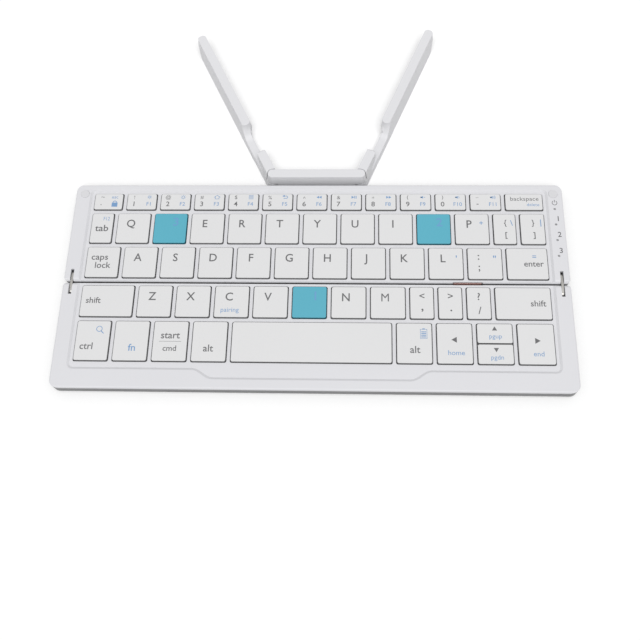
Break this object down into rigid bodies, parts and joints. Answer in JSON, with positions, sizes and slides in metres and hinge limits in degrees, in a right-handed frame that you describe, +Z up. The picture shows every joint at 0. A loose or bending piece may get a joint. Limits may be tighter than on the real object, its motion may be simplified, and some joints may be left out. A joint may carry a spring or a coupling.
{
  "type": "folding keyboard",
  "caption": "Slim keyboard that folds in half on double-pivot steel links, with sprung hollow key caps, a charging socket and a separate V-shaped folding device stand.",
  "frame": {"origin": "middle of the outline of the open keyboard with its stand, on the desk that the feet stand on", "axes": "+X to the right along the key rows, +Y away from the typist, +Z up from the desk"},
  "size_m": [0.2492, 0.2054, 0.01],
  "materials": {
    "frame_white": "fine satin moulded plastic",
    "cover_grey": "satin silver-grey moulded plastic",
    "key_white": "satin moulded plastic with printed legends",
    "key_teal": "satin moulded plastic with a printed number",
    "plate_steel": "stamped sheet",
    "dome_rubber": "soft moulded silicone",
    "board_green": "solder mask over glass fibre",
    "socket_steel": "drawn shell",
    "lens_plastic": "clear diffusing light pipe",
    "bumper_rubber": "soft translucent pad",
    "magnet_nickel": "nickel plate",
    "foot_rubber": "soft moulded rubber",
    "link_steel": "punched and tumbled",
    "flex_brown": "polyimide film over copper",
    "battery_pouch": "laminated pouch",
    "stand_white": "fine satin moulded plastic"
  },
  "bodies": {
    "rear_half": {"rear_top_frame": "frame_white", "rear_bottom_cover": "cover_grey", "rear_switch_plate": "plate_steel", "rear_dome_sheet": "dome_rubber", "main_board": "board_green", "charge_socket": "socket_steel", "indicator_lenses": "lens_plastic", "corner_bumpers": "bumper_rubber", "rear_magnets": "magnet_nickel", "rear_feet": "foot_rubber"},
    "hinge_links": {"hinge_links": "link_steel", "hinge_pins": "link_steel", "flex_cable": "flex_brown"},
    "front_half": {"front_top_frame": "frame_white", "front_bottom_cover": "cover_grey", "front_switch_plate": "plate_steel", "front_dome_sheet": "dome_rubber", "battery": "battery_pouch", "front_magnets": "magnet_nickel", "front_feet": "foot_rubber"},
    "stand_bar": {"stand_bar": "stand_white", "stand_pins": "link_steel"},
    "stand_leg_left": {"stand_leg_left": "stand_white"},
    "stand_leg_right": {"stand_leg_right": "stand_white"},
    "keys_number_row": {"keys_number_row": "key_white"},
    "key_backspace": {"key_backspace": "key_white"},
    "key_tab": {"key_tab": "key_white"},
    "key_q": {"key_q": "key_white"},
    "key_channel_3": {"key_channel_3": "key_teal"},
    "keys_e_to_i": {"keys_e_to_i": "key_white"},
    "key_channel_2": {"key_channel_2": "key_teal"},
    "key_p": {"key_p": "key_white"},
    "key_left_bracket": {"key_left_bracket": "key_white"},
    "key_right_bracket": {"key_right_bracket": "key_white"},
    "key_caps_lock": {"key_caps_lock": "key_white"},
    "keys_a_to_l": {"keys_a_to_l": "key_white"},
    "key_semicolon": {"key_semicolon": "key_white"},
    "key_enter": {"key_enter": "key_white"},
    "key_left_shift": {"key_left_shift": "key_white"},
    "key_z": {"key_z": "key_white"},
    "key_x": {"key_x": "key_white"},
    "key_c": {"key_c": "key_white"},
    "key_v": {"key_v": "key_white"},
    "key_channel_1": {"key_channel_1": "key_teal"},
    "key_n": {"key_n": "key_white"},
    "key_m": {"key_m": "key_white"},
    "key_comma": {"key_comma": "key_white"},
    "key_period": {"key_period": "key_white"},
    "key_slash": {"key_slash": "key_white"},
    "key_right_shift": {"key_right_shift": "key_white"},
    "key_ctrl": {"key_ctrl": "key_white"},
    "key_fn": {"key_fn": "key_white"},
    "key_start": {"key_start": "key_white"},
    "key_left_alt": {"key_left_alt": "key_white"},
    "key_space": {"key_space": "key_white"},
    "key_right_alt": {"key_right_alt": "key_white"},
    "key_left": {"key_left": "key_white"},
    "key_up": {"key_up": "key_white"},
    "key_down": {"key_down": "key_white"},
    "key_right": {"key_right": "key_white"}
  },
  "joints": [
    {"name": "fold_rear", "type": "hinge", "parent": "rear_half", "child": "hinge_links", "pos_m": [0, -0.04523, 0.0047], "axis": [-1, 0, 0], "range_deg": [0, 90], "deforming": ["flex_cable"]},
    {"name": "fold_front", "type": "hinge", "parent": "hinge_links", "child": "front_half", "pos_m": [0, -0.05083, 0.0047], "axis": [-1, 0, 0], "range_deg": [0, 90]},
    {"name": "dock_slide", "type": "slide", "parent": "rear_half", "child": "stand_bar", "axis": [0, 1, 0], "range_m": [0, 0.03]},
    {"name": "leg_left", "type": "hinge", "parent": "stand_bar", "child": "stand_leg_left", "pos_m": [-0.0227, 0.01187, 0.0022], "axis": [0, 0, 1], "range_deg": [-4.5, 63.5]},
    {"name": "leg_right", "type": "hinge", "parent": "stand_bar", "child": "stand_leg_right", "pos_m": [0.0227, 0.01187, 0.0022], "axis": [0, 0, -1], "range_deg": [-0.6, 67.4]},
    {"name": "press_number_row", "type": "slide", "parent": "rear_half", "child": "keys_number_row", "axis": [0, 0, 1], "range_m": [-0.0015, 0], "stiffness_N_per_m": 300, "deforming": ["rear_dome_sheet"]},
    {"name": "press_backspace", "type": "slide", "parent": "rear_half", "child": "key_backspace", "axis": [0, 0, 1], "range_m": [-0.0015, 0], "stiffness_N_per_m": 300, "deforming": ["rear_dome_sheet"]},
    {"name": "press_tab", "type": "slide", "parent": "rear_half", "child": "key_tab", "axis": [0, 0, 1], "range_m": [-0.0015, 0], "stiffness_N_per_m": 300, "deforming": ["rear_dome_sheet"]},
    {"name": "press_q", "type": "slide", "parent": "rear_half", "child": "key_q", "axis": [0, 0, 1], "range_m": [-0.0015, 0], "stiffness_N_per_m": 300, "deforming": ["rear_dome_sheet"]},
    {"name": "press_channel_3", "type": "slide", "parent": "rear_half", "child": "key_channel_3", "axis": [0, 0, 1], "range_m": [-0.0015, 0], "stiffness_N_per_m": 300, "deforming": ["rear_dome_sheet"]},
    {"name": "press_e_to_i", "type": "slide", "parent": "rear_half", "child": "keys_e_to_i", "axis": [0, 0, 1], "range_m": [-0.0015, 0], "stiffness_N_per_m": 300, "deforming": ["rear_dome_sheet"]},
    {"name": "press_channel_2", "type": "slide", "parent": "rear_half", "child": "key_channel_2", "axis": [0, 0, 1], "range_m": [-0.0015, 0], "stiffness_N_per_m": 300, "deforming": ["rear_dome_sheet"]},
    {"name": "press_p", "type": "slide", "parent": "rear_half", "child": "key_p", "axis": [0, 0, 1], "range_m": [-0.0015, 0], "stiffness_N_per_m": 300, "deforming": ["rear_dome_sheet"]},
    {"name": "press_left_bracket", "type": "slide", "parent": "rear_half", "child": "key_left_bracket", "axis": [0, 0, 1], "range_m": [-0.0015, 0], "stiffness_N_per_m": 300, "deforming": ["rear_dome_sheet"]},
    {"name": "press_right_bracket", "type": "slide", "parent": "rear_half", "child": "key_right_bracket", "axis": [0, 0, 1], "range_m": [-0.0015, 0], "stiffness_N_per_m": 300, "deforming": ["rear_dome_sheet"]},
    {"name": "press_caps_lock", "type": "slide", "parent": "rear_half", "child": "key_caps_lock", "axis": [0, 0, 1], "range_m": [-0.0015, 0], "stiffness_N_per_m": 300, "deforming": ["rear_dome_sheet"]},
    {"name": "press_a_to_l", "type": "slide", "parent": "rear_half", "child": "keys_a_to_l", "axis": [0, 0, 1], "range_m": [-0.0015, 0], "stiffness_N_per_m": 300, "deforming": ["rear_dome_sheet"]},
    {"name": "press_semicolon", "type": "slide", "parent": "rear_half", "child": "key_semicolon", "axis": [0, 0, 1], "range_m": [-0.0015, 0], "stiffness_N_per_m": 300, "deforming": ["rear_dome_sheet"]},
    {"name": "press_enter", "type": "slide", "parent": "rear_half", "child": "key_enter", "axis": [0, 0, 1], "range_m": [-0.0015, 0], "stiffness_N_per_m": 300, "deforming": ["rear_dome_sheet"]},
    {"name": "press_left_shift", "type": "slide", "parent": "front_half", "child": "key_left_shift", "axis": [0, 0, 1], "range_m": [-0.0015, 0], "stiffness_N_per_m": 300, "deforming": ["front_dome_sheet"]},
    {"name": "press_z", "type": "slide", "parent": "front_half", "child": "key_z", "axis": [0, 0, 1], "range_m": [-0.0015, 0], "stiffness_N_per_m": 300, "deforming": ["front_dome_sheet"]},
    {"name": "press_x", "type": "slide", "parent": "front_half", "child": "key_x", "axis": [0, 0, 1], "range_m": [-0.0015, 0], "stiffness_N_per_m": 300, "deforming": ["front_dome_sheet"]},
    {"name": "press_c", "type": "slide", "parent": "front_half", "child": "key_c", "axis": [0, 0, 1], "range_m": [-0.0015, 0], "stiffness_N_per_m": 300, "deforming": ["front_dome_sheet"]},
    {"name": "press_v", "type": "slide", "parent": "front_half", "child": "key_v", "axis": [0, 0, 1], "range_m": [-0.0015, 0], "stiffness_N_per_m": 300, "deforming": ["front_dome_sheet"]},
    {"name": "press_channel_1", "type": "slide", "parent": "front_half", "child": "key_channel_1", "axis": [0, 0, 1], "range_m": [-0.0015, 0], "stiffness_N_per_m": 300, "deforming": ["front_dome_sheet"]},
    {"name": "press_n", "type": "slide", "parent": "front_half", "child": "key_n", "axis": [0, 0, 1], "range_m": [-0.0015, 0], "stiffness_N_per_m": 300, "deforming": ["front_dome_sheet"]},
    {"name": "press_m", "type": "slide", "parent": "front_half", "child": "key_m", "axis": [0, 0, 1], "range_m": [-0.0015, 0], "stiffness_N_per_m": 300, "deforming": ["front_dome_sheet"]},
    {"name": "press_comma", "type": "slide", "parent": "front_half", "child": "key_comma", "axis": [0, 0, 1], "range_m": [-0.0015, 0], "stiffness_N_per_m": 300, "deforming": ["front_dome_sheet"]},
    {"name": "press_period", "type": "slide", "parent": "front_half", "child": "key_period", "axis": [0, 0, 1], "range_m": [-0.0015, 0], "stiffness_N_per_m": 300, "deforming": ["front_dome_sheet"]},
    {"name": "press_slash", "type": "slide", "parent": "front_half", "child": "key_slash", "axis": [0, 0, 1], "range_m": [-0.0015, 0], "stiffness_N_per_m": 300, "deforming": ["front_dome_sheet"]},
    {"name": "press_right_shift", "type": "slide", "parent": "front_half", "child": "key_right_shift", "axis": [0, 0, 1], "range_m": [-0.0015, 0], "stiffness_N_per_m": 300, "deforming": ["front_dome_sheet"]},
    {"name": "press_ctrl", "type": "slide", "parent": "front_half", "child": "key_ctrl", "axis": [0, 0, 1], "range_m": [-0.0015, 0], "stiffness_N_per_m": 300, "deforming": ["front_dome_sheet"]},
    {"name": "press_fn", "type": "slide", "parent": "front_half", "child": "key_fn", "axis": [0, 0, 1], "range_m": [-0.0015, 0], "stiffness_N_per_m": 300, "deforming": ["front_dome_sheet"]},
    {"name": "press_start", "type": "slide", "parent": "front_half", "child": "key_start", "axis": [0, 0, 1], "range_m": [-0.0015, 0], "stiffness_N_per_m": 300, "deforming": ["front_dome_sheet"]},
    {"name": "press_left_alt", "type": "slide", "parent": "front_half", "child": "key_left_alt", "axis": [0, 0, 1], "range_m": [-0.0015, 0], "stiffness_N_per_m": 300, "deforming": ["front_dome_sheet"]},
    {"name": "press_space", "type": "slide", "parent": "front_half", "child": "key_space", "axis": [0, 0, 1], "range_m": [-0.0015, 0], "stiffness_N_per_m": 300, "deforming": ["front_dome_sheet"]},
    {"name": "press_right_alt", "type": "slide", "parent": "front_half", "child": "key_right_alt", "axis": [0, 0, 1], "range_m": [-0.0015, 0], "stiffness_N_per_m": 300, "deforming": ["front_dome_sheet"]},
    {"name": "press_left", "type": "slide", "parent": "front_half", "child": "key_left", "axis": [0, 0, 1], "range_m": [-0.0015, 0], "stiffness_N_per_m": 300, "deforming": ["front_dome_sheet"]},
    {"name": "press_up", "type": "slide", "parent": "front_half", "child": "key_up", "axis": [0, 0, 1], "range_m": [-0.0015, 0], "stiffness_N_per_m": 300, "deforming": ["front_dome_sheet"]},
    {"name": "press_down", "type": "slide", "parent": "front_half", "child": "key_down", "axis": [0, 0, 1], "range_m": [-0.0015, 0], "stiffness_N_per_m": 300, "deforming": ["front_dome_sheet"]},
    {"name": "press_right", "type": "slide", "parent": "front_half", "child": "key_right", "axis": [0, 0, 1], "range_m": [-0.0015, 0], "stiffness_N_per_m": 300, "deforming": ["front_dome_sheet"]}
  ]
}
